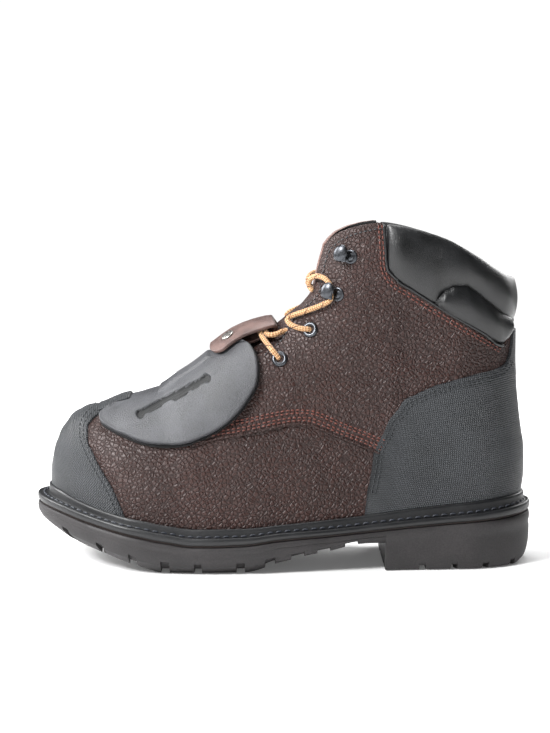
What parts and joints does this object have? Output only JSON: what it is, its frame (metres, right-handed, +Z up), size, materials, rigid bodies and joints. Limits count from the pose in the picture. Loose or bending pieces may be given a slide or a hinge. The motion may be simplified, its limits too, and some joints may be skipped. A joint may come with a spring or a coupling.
{
  "type": "metatarsal guard boot",
  "caption": "Left ankle work boot with a hollow leather upper, padded collar, lugged welted sole, toe cap, heel counter and an external guard over the instep.",
  "frame": {"origin": "bottom centre of the bounding box, on the floor under the middle of the sole", "axes": "+X towards the heel, +Y towards the inner side of the foot, +Z up"},
  "size_m": [0.313, 0.1169, 0.2126],
  "materials": {
    "outsole": "matte moulded rubber",
    "welt": "matte moulded rubber with a satin bead",
    "insole": "woven footbed cover",
    "upper_leather": "pebbled brown leather",
    "abrasion_black": "fine cross-hatched black coating",
    "collar_padding": "smooth padded black leather",
    "tongue_leather": "brown leather, suede inside",
    "guard_polymer": "satin finely speckled polymer",
    "guard_foam": "matte foam backing",
    "strap_leather": "smooth brown leather",
    "bright_steel": "satin steel",
    "lace_cord": "round braided cord",
    "gunmetal_steel": "satin dark steel"
  },
  "bodies": {
    "root": {"outsole": "outsole", "welt": "welt", "insole": "insole", "upper": "upper_leather", "toe_cap": "abrasion_black", "heel_counter": "abrasion_black", "collar": "collar_padding", "collar_roll": "collar_padding", "tongue": "tongue_leather", "guard_plate": "guard_polymer", "guard_pad": "guard_foam", "guard_strap": "strap_leather", "guard_rivet": "bright_steel", "lace_crossings": "lace_cord", "lace_end_outer": "lace_cord", "lace_end_inner": "lace_cord", "eyelet_outer_1": "gunmetal_steel", "hook_outer_1": "gunmetal_steel", "eyelet_outer_2": "gunmetal_steel", "hook_outer_2": "gunmetal_steel", "eyelet_inner_1": "gunmetal_steel", "hook_inner_1": "gunmetal_steel", "eyelet_inner_2": "gunmetal_steel", "hook_inner_2": "gunmetal_steel"}
  },
  "joints": []
}
